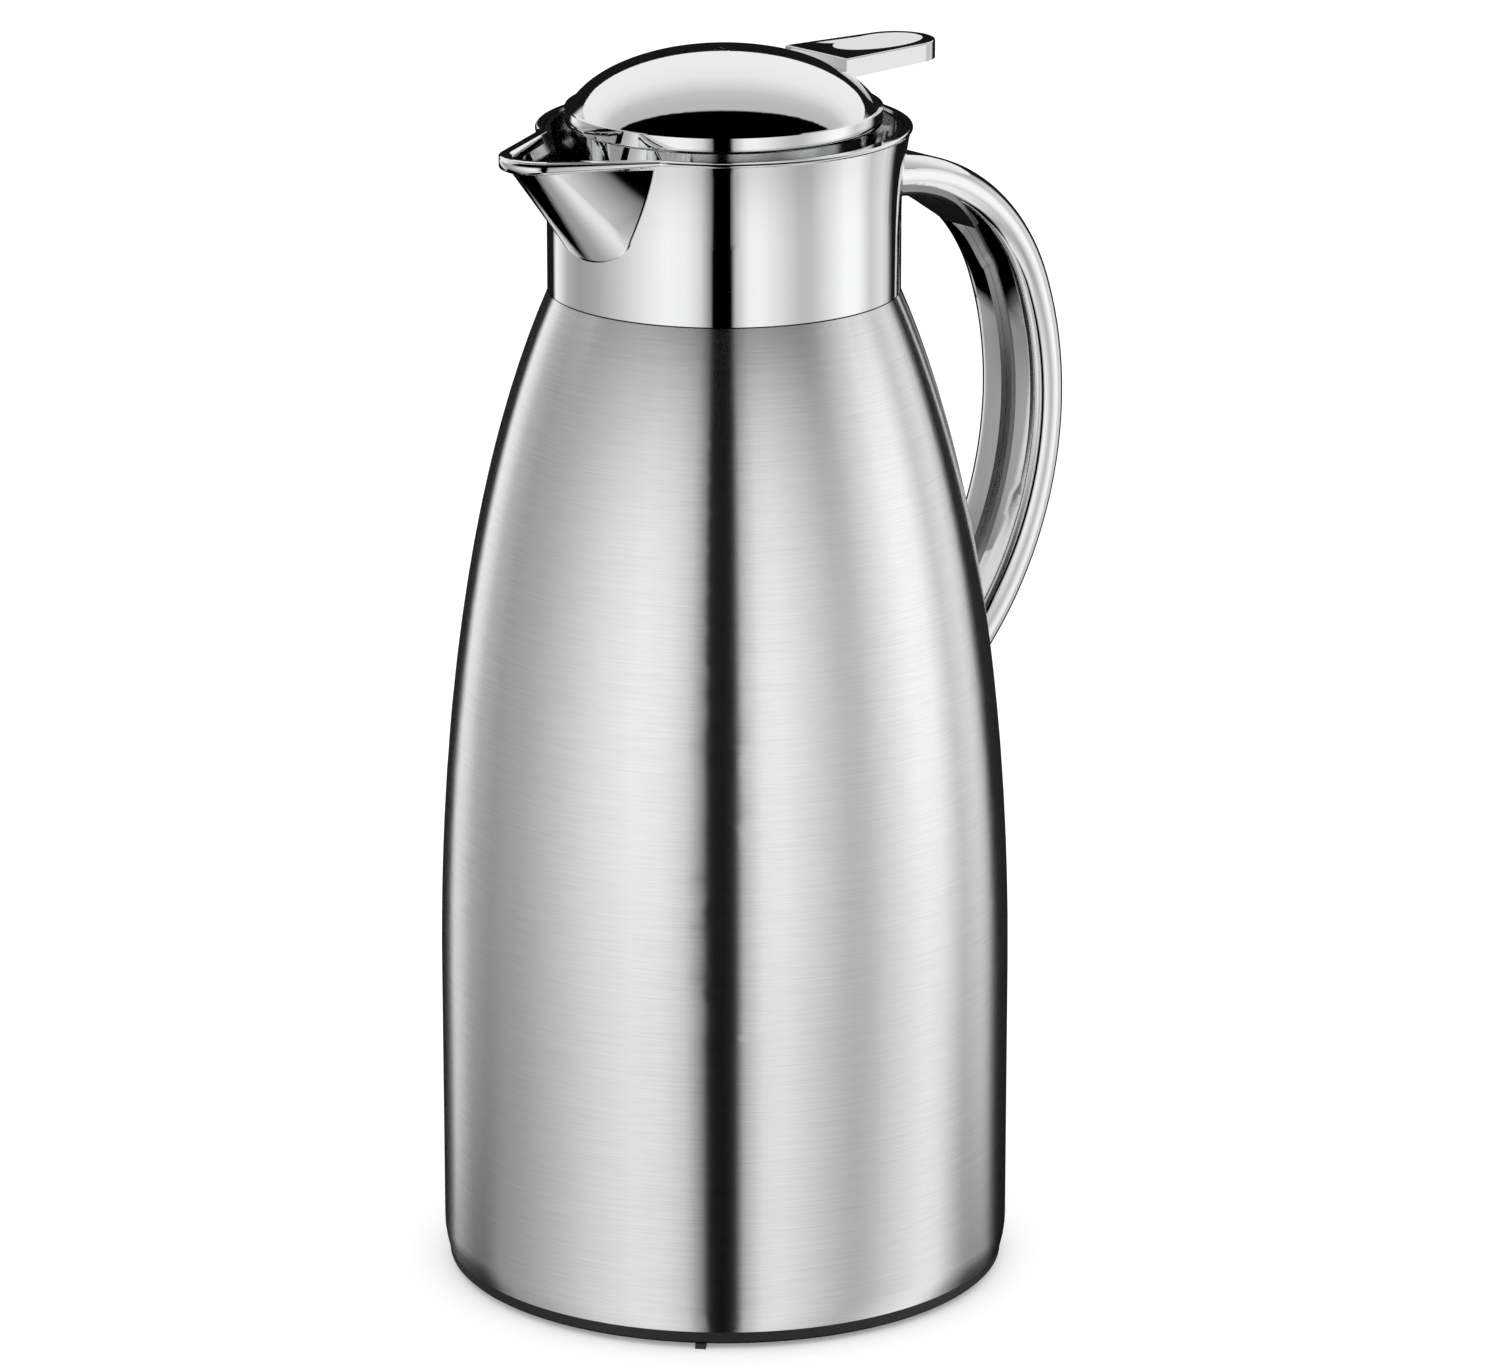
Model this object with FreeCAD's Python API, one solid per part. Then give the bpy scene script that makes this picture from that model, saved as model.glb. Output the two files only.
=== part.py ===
import FreeCAD, Part
import math
import os

# A thermal jug with a hinged lid. Lengths are in millimetres and angles in degrees.
# It stands on z = 0 round the Z axis, with its spout along -X and its handle along +X.

# Body: one drawn sheet, straight below and curving in to the neck
body_radius = 66.0
side_rise = 161.5
side_pull = 37.6
neck_pull_inset = 3.3
neck_drop = 52.1
neck_radius = 40.0
seam_height = 232.8
sheet = 0.7
edge_inset = 0.8
edge_height = 4.2
edge_round_top = 10.0
neck_hole_radius = 36.0

# Base: a ring in the body's foot, a screw cap for the flask and a soft foot ring
base_lift = 1.2
base_ring_inset = 0.4
base_ring_wall = 2.4
base_ring_web = 5.5
base_chamfer = 0.5
thread_inset = 6.0
cap_recess = 0.6
cap_floor = 4.5
cap_wall = 3.0
grip_radius = 24.0
grip_depth = 2.4
grip_bar_width = 7.0
foot_ring_inset = 7.8
foot_ring_width = 5.0
foot_groove_depth = 1.2
foot_lug_past = 0.2
foot_lug_width = 2.4
foot_lug_turns = (0.0, 135.0, 225.0)

# Flask: two glass walls with a vacuum between them, joined at the lip
flask_gap = 6.3
flask_bottom = 17.0
flask_corner = 16.0
flask_shoulder_drop = 94.8
flask_neck_drop = 15.8
flask_neck_radius = 32.0
flask_lip_rise = 9.5
glass = 1.8
vacuum = 3.2
nib_radius = 4.0
nib_length = 5.0
cushion_inset = 10.0
cushion_width = 18.0
cushion_taper = 4.0
spacer_rise = 16.7
spacer_depth = 9.0
neck_seal_depth = 2.2

# Collar: a flared ring with a rolled rim and the spout
collar_radius = 40.2
collar_wall = 1.6
flare_start_rise = 17.5
flare_reach = 2.0
rim_roll = 0.5
rim_depth = 1.0
rim_rise = 37.8
collar_web = 2.5
skirt_radius = 35.8
skirt_wall = 2.2
skirt_depth = 9.0
ledge_width = 2.2
ledge_depth = 2.0
nut_wall = 3.2
nut_depth = 7.4

# Spout: a blunt cone on the collar, with a lip that thickens towards the tip
spout_half_angle = 32.5
spout_foot_rise = 12.0
spout_foot_reach = 40.1
spout_foot_round = 17.6
spout_top_drop = 2.0
spout_top_reach = 60.1
spout_top_round = 10.2
spout_wall = 2.4
spout_round_loss = 1.6
spout_back = 30.0
lip_tip_reach = 62.1
lip_round = 10.0
lip_root_reach = 36.0
lip_root_depth = 1.0
lip_tip_drop = 2.6
lip_tip_rise = 0.5
lip_edge_round = 0.4

# Pour insert: a funnel in the collar that seats on the flask and carries the hinge
insert_wall = 1.3
insert_drop = 0.3
insert_depth = 19.8
insert_floor = 2.2
mouth_radius = 25.5
sleeve_radius = 31.8

# Lid: a domed cover on a hollow plug with a band, a cap and a seal below
lid_lift = 0.6
band_radius = 36.0
band_height = 3.7
band_round = 0.8
dome_spread = 36.5
dome_rise = 18.2
dome_sink = 5.2
dome_wall = 1.6
spigot_height = 1.6
spigot_wall = 1.6
plug_radius = 33.5
plug_wall = 2.2
plug_plate = 2.4
plug_cap_depth = 2.0
plug_cap_lift = 0.8
cap_spigot_height = 2.5
lid_seal_radius = 31.5
lid_seal_width = 4.0
lid_seal_groove = 1.0
lid_seal_gap = 0.3
boss_radius = 3.6
boss_circle_radius = 22.0
boss_count = 3

# Hinge: a pin across the back of the rim, through two ears and the plug's knuckle
hinge_reach = 36.0
hinge_drop = 3.1
pin_radius = 1.2
knuckle_radius = 2.2
knuckle_width = 8.6
ear_width = 2.6
ear_depth = 6.0
hinge_side_gap = 0.3

# Thumb lever: a tapering plate with a shallow oval dish, on a foot inside the dome
lever_rise = 8.6
lever_thickness = 4.6
lever_tip_thickness = 4.2
lever_front = 27.3
lever_tip = 60.6
lever_front_width = 21.4
lever_tip_width = 18.0
lever_edge_round = 0.4
dish_centre = 46.0
dish_length = 24.0
dish_width = 11.5
dish_depth = 0.9
dish_ball_height = 4.5
foot_back = 24.0
foot_front = 30.2
foot_width = 12.0
foot_top_drop = 1.0
foot_screw_reach = 27.2
foot_screw_spacing = 6.8

# Handle: a flat tube bent in three arcs, with a slot inside that widens into a fork at the collar
handle_rise = 21.3
handle_bend_start = 42.0
handle_bow_inset = 18.1
handle_side_radius = 82.7
handle_low_radius = 61.7
handle_turns = (69.9, 66.1, 40.0)
handle_width = 23.7
handle_thickness = 8.8
handle_wall = 1.6
slot_root_drop = 1.6
slot_turns = (0.0, 14.0, 25.0, 34.0, 42.0, 53.0, 66.0)
slot_width_shares = (0.965, 0.94, 0.89, 0.745, 0.53, 0.31, 0.215)
tongue_turn = 44.0
tongue_proud = 0.9
cover_width = 13.8
cover_thickness = 1.4
cover_gap_turn = 0.4
lower_block_back = 12.5
backing_width = 18.0
backing_height = 14.0
backing_thickness = 1.5

# Screws
small_screw_radius = 1.25
small_head_radius = 2.5
small_head_depth = 1.8
lid_screw_length = 11.0
lever_screw_length = 5.4
handle_screw_radius = 1.5
handle_head_radius = 3.0
handle_head_depth = 1.5
handle_head_sink = 0.3
top_screw_length = 11.0
bottom_screw_radius = 1.25
bottom_head_radius = 2.6
bottom_screw_length = 6.6
bottom_screw_back = 2.7
landing_steps = 14

# Fits
joint_gap = 0.05
slip_gap = 0.15
running_gap = 0.05
screw_gap = 0.02
hole_gap = 0.2
overrun = 3.0

VEC = FreeCAD.Vector
UP = VEC(0, 0, 1)
OUT = VEC(1, 0, 0)
ACROSS = VEC(0, 1, 0)
CENTRE = VEC(0, 0, 0)
FULL_TURN = 360.0

# Heights and radii that several pieces share
straight_top = seam_height - side_rise
neck_pull_radius = body_radius - neck_pull_inset
edge_radius = body_radius - edge_inset
base_ring_radius = edge_radius - base_ring_inset
foot_ring_radius = base_ring_radius - foot_ring_inset
foot_lug_reach = base_ring_radius + foot_lug_past
thread_radius = foot_ring_radius - foot_ring_width - thread_inset
cushion_outer = thread_radius - cushion_inset
cushion_inner = cushion_outer - cushion_width
flask_radius = body_radius - sheet - flask_gap
flask_shoulder = seam_height - flask_shoulder_drop
flask_neck_base = seam_height - flask_neck_drop
flask_lip_height = seam_height + flask_lip_rise
spacer_height = straight_top + spacer_rise
collar_inner = collar_radius - collar_wall
insert_outer = collar_inner - slip_gap
rim_top = seam_height + rim_rise
flare_start = seam_height + flare_start_rise
flare_top = rim_top - rim_depth
spout_foot_height = seam_height + spout_foot_rise
spout_top_height = rim_top - spout_top_drop
lip_root_low = rim_top - lip_root_depth
lip_tip_low = rim_top - lip_tip_drop
lip_tip_high = rim_top + lip_tip_rise
insert_floor_height = rim_top - insert_depth
insert_top = rim_top - insert_drop
insert_under = insert_floor_height - insert_floor
neck_seal_top = flask_lip_height + neck_seal_depth
web_top = seam_height + collar_web
cap_bottom = base_lift + cap_recess
cap_top = base_lift + base_ring_web
band_bottom = rim_top + lid_lift
band_top = band_bottom + band_height
dome_centre = band_top - dome_sink
plate_under = band_top - plug_plate
plug_cap_bottom = insert_floor_height + plug_cap_lift
plug_cap_top = plug_cap_bottom + plug_cap_depth
hinge_height = band_bottom - hinge_drop
lever_top = band_top + lever_rise
lever_under = lever_top - lever_thickness
handle_height = seam_height + handle_rise
handle_radii = (body_radius - handle_bow_inset, handle_side_radius, handle_low_radius)
half_width = handle_width / 2
half_thickness = handle_thickness / 2


def at(r, z):
    """A point of a turned profile, in the XZ plane."""
    return VEC(r, 0, z)


def path(points):
    """Straight edges through profile points."""
    places = [at(*p) for p in points]
    return [Part.LineSegment(a, b).toShape() for a, b in zip(places, places[1:])]


def arc(first, middle, last):
    return Part.Arc(at(*first), at(*middle), at(*last)).toShape()


def curve(first, first_pull, last_pull, last):
    """A cubic curve with two pull points."""
    bend = Part.BezierCurve()
    bend.setPoles([at(*first), at(*first_pull), at(*last_pull), at(*last)])
    return bend.toShape()


def flat_face(edges):
    return Part.Face(Part.Wire(Part.__sortEdges__(edges)))


def turned(edges):
    """A solid of revolution round Z. Its seam is at the side, clear of spout and handle."""
    return round_z(flat_face(edges), FULL_TURN / 4).revolve(CENTRE, UP, FULL_TURN)


def round_z(shape, turn):
    moved = shape.copy()
    moved.rotate(CENTRE, UP, turn)
    return moved


def cut_each(shape, tools):
    """Takes tools that may overlap out of a shape, one after another."""
    for tool in tools:
        shape = shape.cut(tool)
    return shape


def turned_ring(inner, outer, low, high):
    return turned(path([(inner, low), (outer, low), (outer, high), (inner, high), (inner, low)]))


def rod(radius, start, end):
    return Part.makeCylinder(radius, (end - start).Length, start, end - start)


def countersunk(radius, head_radius, head_depth, start, end):
    """A screw with a cone head at its start."""
    head = Part.makeCone(head_radius, radius, head_depth, start, end - start)
    return head.fuse(rod(radius, start, end)).removeSplitter()


def pan_screw(radius, head_radius, head_depth, seat, tip):
    """A screw whose head lies behind its seat."""
    back = (tip - seat).normalize() * head_depth
    return rod(radius, seat, tip).fuse(rod(head_radius, seat - back, seat)).removeSplitter()


def bulge(chord_start, chord_end):
    """Middle of an arc that leaves its start upright and ends at the other point, with its radius."""
    side = chord_end[0] - chord_start[0]
    rise = chord_end[1] - chord_start[1]
    radius = (side * side + rise * rise) / (2 * abs(side))
    half_turn = math.asin(rise / radius) / 2
    lean = math.copysign(radius * (1 - math.cos(half_turn)), side)
    return chord_start[0] + lean, chord_start[1] + radius * math.sin(half_turn)


def side_edges(inset, low, high):
    """The body's side from one height to the seam, moved in by the inset. The last point is at high."""
    start = (body_radius - inset, straight_top)
    end = (neck_radius - inset, high)
    rise = curve(start, (body_radius - inset, straight_top + side_pull),
                 (neck_pull_radius - inset, high - neck_drop), end)
    foot_round = (body_radius - inset, edge_round_top)
    foot = (edge_radius - inset, low)
    middle = bulge(foot_round, (foot[0], 2 * edge_round_top - low))
    rounding = arc(foot, (middle[0], 2 * edge_round_top - middle[1]), foot_round)
    return [rounding] + path([foot_round, start]) + [rise]


def body_envelope(grow):
    """The body's outside as a solid, grown or shrunk sideways."""
    top = (neck_radius + grow, seam_height)
    foot = (edge_radius + grow, edge_height)
    ends = [top, (0, seam_height), (0, edge_height), foot]
    return turned(side_edges(-grow, edge_height, seam_height) + path(ends))


def body_shell():
    under = seam_height - sheet
    top = [(neck_radius, seam_height), (neck_hole_radius, seam_height), (neck_hole_radius, under),
           (neck_radius - sheet, under)]
    foot = [(edge_radius - sheet, edge_height), (edge_radius, edge_height)]
    shell = turned(side_edges(0, edge_height, seam_height) + path(top)
                   + side_edges(sheet, edge_height, under) + path(foot))
    return shell.cut(bottom_screw_hole())


def base_ring():
    rim = edge_radius - sheet - slip_gap
    inside = rim - base_ring_wall
    groove_in = foot_ring_radius - foot_ring_width
    groove_top = base_lift + foot_groove_depth
    ring = [(thread_radius, base_lift), (groove_in, base_lift), (groove_in, groove_top),
            (foot_ring_radius, groove_top), (foot_ring_radius, base_lift),
            (base_ring_radius - base_chamfer, base_lift), (base_ring_radius, base_lift + base_chamfer),
            (base_ring_radius, edge_height), (rim, edge_height), (rim, edge_round_top),
            (inside, edge_round_top), (inside, cap_top), (thread_radius, cap_top), (thread_radius, base_lift)]
    return turned(path(ring))


def base_cap():
    """A screw cap with a finger bar sunk in its underside."""
    rim = thread_radius - slip_gap
    floor_top = cap_bottom + cap_floor
    inside = rim - cap_wall
    cap = turned(path([(0, cap_bottom), (rim, cap_bottom), (rim, cap_top), (inside, cap_top),
                       (inside, floor_top), (0, floor_top), (0, cap_bottom)]))
    well = Part.makeCylinder(grip_radius, grip_depth + overrun, at(0, cap_bottom - overrun))
    bar = Part.makeBox(2 * grip_radius, grip_bar_width, grip_depth + overrun,
                       VEC(-grip_radius, -grip_bar_width / 2, cap_bottom - overrun))
    return cap.cut(well.cut(bar))


def foot_ring():
    """A soft ring in the base ring's groove, with lugs that show under its edge."""
    inner = foot_ring_radius - foot_ring_width
    ring = turned_ring(inner + slip_gap, foot_ring_radius - slip_gap, 0, base_lift + foot_groove_depth)
    corner = VEC(foot_ring_radius - foot_ring_width / 2, -foot_lug_width / 2, 0)
    lug = Part.makeBox(foot_lug_reach - corner.x, foot_lug_width, base_lift, corner)
    return ring.fuse([round_z(lug, turn) for turn in foot_lug_turns]).removeSplitter()


def flask_edges(inset, bottom, top):
    """One face of the flask from its bottom centre to its neck."""
    wide = flask_radius - inset
    narrow = flask_neck_radius - inset
    corner = flask_corner - inset
    slant = corner * math.sqrt(1 / 2)
    middle = (wide - corner + slant, bottom + corner - slant)
    turn = arc((wide - corner, bottom), middle, (wide, bottom + corner))
    middle = (flask_shoulder + flask_neck_base) / 2
    shoulder = curve((wide, flask_shoulder), (wide, middle), (narrow, middle), (narrow, flask_neck_base))
    low = path([(0, bottom), (wide - corner, bottom)])
    side = path([(wide, bottom + corner), (wide, flask_shoulder)])
    return low + [turn] + side + [shoulder] + path([(narrow, flask_neck_base), (narrow, top)])


def flask_outer_wall():
    """The outer glass with the sealed nib that its air was drawn out through."""
    top = flask_lip_height - glass
    inner_bottom = flask_bottom + glass
    rim = path([(flask_neck_radius, top), (flask_neck_radius - glass, top)])
    floor = path([(0, inner_bottom), (0, flask_bottom)])
    wall = turned(flask_edges(0, flask_bottom, top) + rim + flask_edges(glass, inner_bottom, top) + floor)
    nib = Part.makeCone(nib_radius / 2, nib_radius, nib_length, at(0, flask_bottom - nib_length))
    return wall.fuse(nib).removeSplitter()


def flask_inner_wall():
    """The inner glass, whose lip rolls out over the outer glass."""
    outer = glass + vacuum
    inner = outer + glass
    under = flask_lip_height - glass
    low = flask_bottom + outer
    lip = path([(flask_neck_radius - inner, flask_lip_height), (flask_neck_radius, flask_lip_height),
                (flask_neck_radius, under), (flask_neck_radius - outer, under)])
    return turned(flask_edges(inner, low + glass, flask_lip_height) + lip
                  + flask_edges(outer, low, under) + path([(0, low), (0, low + glass)]))


def flask_cushion():
    """A soft ring on the base cap that carries the flask."""
    seat = cap_bottom + cap_floor
    return turned(path([(cushion_inner, seat), (cushion_outer, seat),
                        (cushion_outer - cushion_taper, flask_bottom), (cushion_inner, flask_bottom),
                        (cushion_inner, seat)]))


def flask_spacer():
    """A soft band that keeps the flask in the middle of the body."""
    half = spacer_depth / 2
    band = turned_ring(flask_radius + joint_gap, body_radius, spacer_height - half, spacer_height + half)
    return band.common(body_envelope(-sheet - joint_gap))


def neck_seal():
    inner = flask_neck_radius - 2 * glass - vacuum
    return turned_ring(inner, flask_neck_radius, flask_lip_height, neck_seal_top)


def flare(shift):
    """The collar's flaring side, from straight to rim, moved in by the shift."""
    start = (collar_radius - shift, flare_start)
    end = (collar_radius + flare_reach - shift, flare_top)
    return start, arc(start, bulge(start, end), end), end


def collar_envelope(grow):
    """The collar's outside without spout or skirt, as a solid grown sideways."""
    start, bend, end = flare(-grow)
    top = (end[0], rim_top)
    roll = arc(end, (end[0] + rim_roll, (flare_top + rim_top) / 2), top)
    ends = [top, (0, rim_top), (0, seam_height), (collar_radius + grow, seam_height), start]
    return turned([bend, roll] + path(ends))


def spout_section(reach, tip_round, height):
    """A level section of the spout: two straight sides with a round tip."""
    lean = math.radians(spout_half_angle)
    middle = reach - tip_round
    side_x = middle + tip_round * math.sin(lean)
    side_y = tip_round * math.cos(lean)
    back_y = side_y + (side_x - spout_back) * math.tan(lean)
    near_back = VEC(-spout_back, -back_y, height)
    near = VEC(-side_x, -side_y, height)
    far = VEC(-side_x, side_y, height)
    far_back = VEC(-spout_back, back_y, height)
    tip = Part.Arc(near, VEC(-reach, 0, height), far).toShape()
    sides = [Part.LineSegment(near_back, near).toShape(), tip,
             Part.LineSegment(far, far_back).toShape(), Part.LineSegment(far_back, near_back).toShape()]
    return Part.Wire(sides)


def spout_at(height):
    """Reach and tip radius of the spout's outside at a height."""
    share = (height - spout_foot_height) / (spout_top_height - spout_foot_height)
    reach = spout_foot_reach + share * (spout_top_reach - spout_foot_reach)
    return reach, spout_foot_round + share * (spout_top_round - spout_foot_round)


def spout_cone():
    low = spout_section(*spout_at(spout_foot_height), spout_foot_height)
    high = spout_section(*spout_at(spout_top_height), spout_top_height)
    return Part.makeLoft([low, high], True, True)


def spout_channel():
    """The space that is poured through, from the insert's floor to above the lip."""
    sections = []
    for height in (insert_floor_height, lip_tip_high + spout_wall):
        reach, tip_round = spout_at(height)
        sections.append(spout_section(reach - spout_wall, tip_round - spout_round_loss, height))
    return Part.makeLoft(sections, True, True)


def spout_lip():
    """A wedge of the spout's plan, thin at the rim and thick at the tip, with rounded edges."""
    base = lip_tip_low - overrun
    outline = Part.Face(spout_section(lip_tip_reach, lip_round, base))
    plan = outline.extrude(UP * (lip_tip_high + overrun - base))
    side = flat_face(path([(-lip_root_reach, lip_root_low), (-lip_tip_reach, lip_tip_low),
                           (-lip_tip_reach, lip_tip_high), (-lip_root_reach, rim_top),
                           (-lip_root_reach, lip_root_low)]))
    side.translate(-ACROSS * body_radius)
    wedge = plan.common(side.extrude(ACROSS * 2 * body_radius))
    front = [e for e in wedge.Edges if e.BoundBox.XMin < -lip_root_reach - spout_wall]
    outside = [e for e in front if abs(e.tangentAt(e.FirstParameter).z) < 1 / 2]
    return wedge.makeFillet(lip_edge_round, outside)


def collar():
    """The flared ring with the spout, a ledge for the insert and a threaded skirt through the body's neck."""
    start, bend, end = flare(collar_wall)
    above = rim_top + overrun
    below = seam_height - skirt_depth
    ledge_in = collar_inner - ledge_width
    skirt_in = skirt_radius - skirt_wall
    ledge_low = insert_under - ledge_depth
    wall = [end, (end[0], above), (0, above), (0, below - overrun), (skirt_in, below - overrun),
            (skirt_in, web_top), (collar_inner, web_top), (collar_inner, ledge_low), (ledge_in, ledge_low),
            (ledge_in, insert_under), (collar_inner, insert_under), start]
    inside = turned([bend] + path(wall))
    skirt = Part.makeCylinder(skirt_radius, skirt_depth, at(0, below))
    outside = collar_envelope(0).fuse([skirt, spout_cone(), spout_lip()])
    return cut_each(outside, [inside, spout_channel(), top_screw(hole_gap)]).removeSplitter()


def neck_nut():
    """The ring that clamps the collar to the body from inside."""
    top = seam_height - sheet
    inner = skirt_radius + slip_gap
    return turned_ring(inner, inner + nut_wall, top - nut_depth, top)


def insert_envelope():
    start, bend, end = flare(collar_wall + slip_gap)
    ends = [end, (end[0], insert_top), (0, insert_top), (0, neck_seal_top), (sleeve_radius, neck_seal_top),
            (sleeve_radius, insert_under), (insert_outer, insert_under), start]
    return turned([bend] + path(ends))


def hinge_ears():
    """Two ears inside the rim that hold the pin."""
    near = knuckle_width / 2 + hinge_side_gap
    ears = []
    for side in (near, -near - ear_width):
        barrel = Part.makeCylinder(knuckle_radius, ear_width, VEC(hinge_reach, side, hinge_height), ACROSS)
        web = Part.makeBox(collar_radius - hinge_reach, ear_width, ear_depth + knuckle_radius,
                           VEC(hinge_reach, side, hinge_height - ear_depth))
        ears.append(barrel.fuse(web))
    return ears


def pour_insert():
    start, bend, end = flare(collar_wall + slip_gap + insert_wall)
    well = [end, (end[0], insert_top + overrun), (0, insert_top + overrun), (0, insert_floor_height),
            (start[0], insert_floor_height), start]
    mouth = Part.makeCylinder(mouth_radius, insert_top, at(0, neck_seal_top - overrun))
    cup = cut_each(insert_envelope(), [turned([bend] + path(well)), mouth, spout_channel()])
    ears = [ear.common(insert_envelope()) for ear in hinge_ears()]
    return cup.fuse(ears).cut(pin_hole(screw_gap)).removeSplitter()


def pin_hole(gap):
    half = knuckle_width / 2 + hinge_side_gap + ear_width
    return rod(pin_radius + gap, VEC(hinge_reach, -half, hinge_height), VEC(hinge_reach, half, hinge_height))


def hinge_pin():
    return pin_hole(0)


def dome_arc(shrink, low):
    """The end of an ellipse from a height up to the axis, with its two end points."""
    spread = dome_spread - shrink
    rise = dome_rise - shrink
    lift = math.asin((low - dome_centre) / rise)
    pull = math.tan((math.pi / 2 - lift) / 4) * 4 / 3
    start = (spread * math.cos(lift), low)
    top = (0, dome_centre + rise)
    start_pull = (start[0] - pull * spread * math.sin(lift), low + pull * rise * math.cos(lift))
    return start, curve(start, start_pull, (pull * spread, top[1]), top), top


def lid_dome():
    edge_out, outside, top_out = dome_arc(0, band_top)
    edge_in, inside, top_in = dome_arc(dome_wall, band_top)
    shell = turned([outside, inside] + path([edge_in, edge_out]) + path([top_in, top_out]))
    return cut_each(shell, [lever_plate(joint_gap), lever_foot(joint_gap)])


def lid_screw_places():
    """Turns of the screws that hold the plug's cap, none under the hinge."""
    return [FULL_TURN * (index + 1 / 2) / boss_count for index in range(boss_count)]


def lid_plug():
    """The hollow plug: a band that shows under the dome, a plate, bosses and the hinge knuckle."""
    inside = plug_radius - plug_wall
    spigot = dome_arc(dome_wall, band_top + spigot_height)[0][0] - slip_gap
    low_round = (band_radius, band_bottom + band_round)
    side = [low_round, (band_radius, band_top), (spigot, band_top), (spigot, band_top + spigot_height),
            (spigot - spigot_wall, band_top + spigot_height), (spigot - spigot_wall, band_top), (0, band_top),
            (0, plate_under), (inside, plate_under), (inside, plug_cap_top), (plug_radius, plug_cap_top),
            (plug_radius, band_bottom), (band_radius - band_round, band_bottom)]
    slant = band_round * math.sqrt(1 / 2)
    corner = arc(side[-1], (band_radius - band_round + slant, band_bottom + band_round - slant), low_round)
    plug = turned(path(side) + [corner])
    boss = Part.makeCylinder(boss_radius, plate_under - plug_cap_top, at(boss_circle_radius, plug_cap_top))
    pilot = lid_screw(screw_gap)
    turns = lid_screw_places()
    plug = plug.fuse([round_z(boss, turn) for turn in turns] + [knuckle()])
    holes = [round_z(pilot, turn) for turn in turns] + lever_screw_solids(hole_gap) + [pin_hole(running_gap)]
    return cut_each(plug, holes + [lever_foot(joint_gap)]).removeSplitter()


def knuckle():
    """The tongue on the plug that turns on the pin."""
    half = knuckle_width / 2
    barrel = Part.makeCylinder(knuckle_radius, knuckle_width, VEC(hinge_reach, -half, hinge_height), ACROSS)
    start = plug_radius - plug_wall / 2
    tongue = Part.makeBox(hinge_reach - start, knuckle_width, 2 * knuckle_radius,
                          VEC(start, -half, hinge_height - knuckle_radius))
    return barrel.fuse(tongue)


def lid_screw(gap):
    seat = plug_cap_bottom + plug_cap_depth / 2
    return pan_screw(small_screw_radius + gap, small_head_radius + gap, plug_cap_depth / 4,
                     at(boss_circle_radius, seat), at(boss_circle_radius, seat + lid_screw_length + gap))


def lid_screws():
    return Part.makeCompound([round_z(lid_screw(0), turn) for turn in lid_screw_places()])


def plug_cap():
    """The disc that closes the plug, with a groove for the seal."""
    inside = plug_radius - plug_wall - slip_gap
    groove_top = plug_cap_bottom + lid_seal_groove
    groove_in = lid_seal_radius - lid_seal_width
    spigot_top = plug_cap_top + cap_spigot_height
    spigot_in = inside - plug_wall
    disc = turned(path([(0, plug_cap_bottom), (groove_in, plug_cap_bottom), (groove_in, groove_top),
                        (lid_seal_radius, groove_top), (lid_seal_radius, plug_cap_bottom),
                        (plug_radius, plug_cap_bottom), (plug_radius, plug_cap_top), (inside, plug_cap_top),
                        (inside, spigot_top), (spigot_in, spigot_top), (spigot_in, plug_cap_top),
                        (0, plug_cap_top), (0, plug_cap_bottom)]))
    place = at(boss_circle_radius, plug_cap_bottom)
    well = Part.makeCylinder(small_head_radius + hole_gap, plug_cap_depth / 2, place)
    shank = Part.makeCylinder(small_screw_radius + hole_gap, plug_cap_depth, place)
    drill = well.fuse(shank)
    return cut_each(disc, [round_z(drill, turn) for turn in lid_screw_places()])


def lid_seal():
    low = insert_floor_height + lid_seal_gap
    high = plug_cap_bottom + lid_seal_groove
    return turned_ring(lid_seal_radius - lid_seal_width, lid_seal_radius, low, high)


def lever_plate(gap):
    """The lever's plate: its plan cut to the tapering side view."""
    front = lever_front - gap
    wide = lever_front_width / 2 + gap
    narrow = lever_tip_width / 2 + gap
    tip = lever_tip + gap
    shoulder = tip - narrow
    corners = [VEC(shoulder, -narrow, 0), VEC(front, -wide, 0), VEC(front, wide, 0), VEC(shoulder, narrow, 0)]
    edges = [Part.LineSegment(a, b).toShape() for a, b in zip(corners, corners[1:])]
    edges.append(Part.Arc(corners[-1], VEC(tip, 0, 0), corners[0]).toShape())
    plan = flat_face(edges).extrude(UP * (lever_top + overrun))
    side = flat_face(path([(front, lever_top + gap), (tip, lever_top + gap),
                           (tip, lever_top - lever_tip_thickness - gap), (front, lever_under - gap),
                           (front, lever_top + gap)]))
    side.translate(-ACROSS * lever_front_width)
    return plan.common(side.extrude(ACROSS * 2 * lever_front_width))


def lever_foot(gap):
    """The foot under the lever's root, which stands on the plug's plate inside the dome."""
    shelf = lever_under - foot_top_drop + gap
    root = lever_under + lever_thickness / 4
    back, step, front = foot_back - gap, lever_front - gap, foot_front + gap
    side = flat_face(path([(back, band_top), (front, band_top), (front, root), (step, root), (step, shelf),
                           (back, shelf), (back, band_top)]))
    width = foot_width + 2 * gap
    side.translate(-ACROSS * width / 2)
    return side.extrude(ACROSS * width)


def lever_screw_solids(gap):
    places = [VEC(foot_screw_reach, side * foot_screw_spacing / 2, plate_under) for side in (1, -1)]
    reach = UP * (lever_screw_length + gap)
    radius, head = small_screw_radius + gap, small_head_radius + gap
    return [pan_screw(radius, head, small_head_depth, p, p + reach) for p in places]


def lever_screws():
    return Part.makeCompound(lever_screw_solids(0))


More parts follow.
